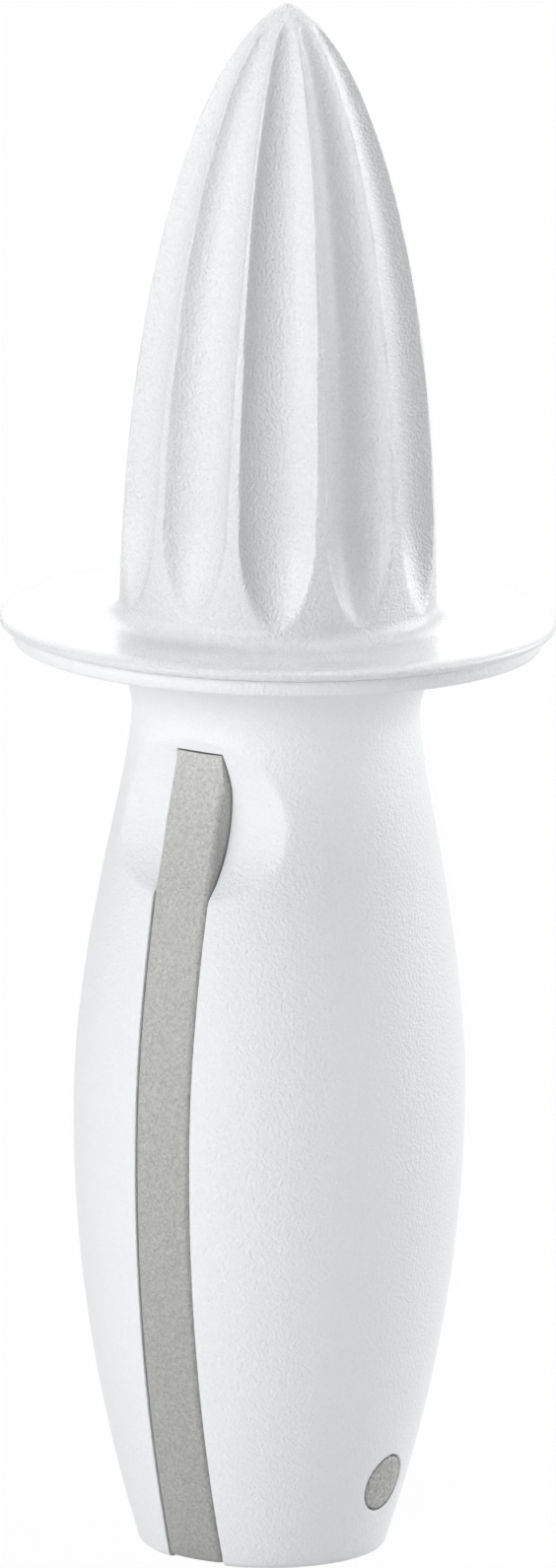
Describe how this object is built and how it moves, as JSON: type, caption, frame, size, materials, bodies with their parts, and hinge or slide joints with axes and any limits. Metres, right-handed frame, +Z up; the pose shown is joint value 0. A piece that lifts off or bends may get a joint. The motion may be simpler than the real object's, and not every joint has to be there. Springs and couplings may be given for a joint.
{
  "type": "citrus juicer with grater",
  "caption": "Hand citrus reamer with a fluted cone, a round juice flange and a barrel handle, and a grater arm that folds out of a slot in the handle.",
  "frame": {"origin": "middle of the base, on the surface that the juicer stands on", "axes": "+Z up along the handle and cone, -Y the side of the grater arm's slot, X along the pivot"},
  "size_m": [0.0654, 0.0654, 0.1846],
  "materials": {
    "handle_white": "satin white with a very fine grain",
    "reamer_white": "satin white, smoother on the juice flange",
    "arm_grey": "fine matte grain",
    "pivot_grey": "fine matte grain",
    "plate_steel": "brushed stainless sheet",
    "rivet_steel": "polished stainless",
    "washer_white": "smooth low-friction plastic",
    "seal_rubber": "smooth rubber"
  },
  "bodies": {
    "handle": {"handle_body": "handle_white", "reamer_head": "reamer_white", "seal_ring": "seal_rubber", "pivot_pin": "pivot_grey", "pivot_sleeve": "pivot_grey", "friction_washer_right": "washer_white", "friction_washer_left": "washer_white"},
    "grater_arm": {"grater_frame": "arm_grey", "grater_plate": "plate_steel", "plate_rivet_1": "rivet_steel", "plate_rivet_2": "rivet_steel", "plate_rivet_3": "rivet_steel", "plate_rivet_4": "rivet_steel"}
  },
  "joints": [
    {"name": "arm_fold", "type": "hinge", "parent": "handle", "child": "grater_arm", "pos_m": [0, 0, 0.0095], "axis": [1, 0, 0], "range_deg": [0, 180]}
  ]
}
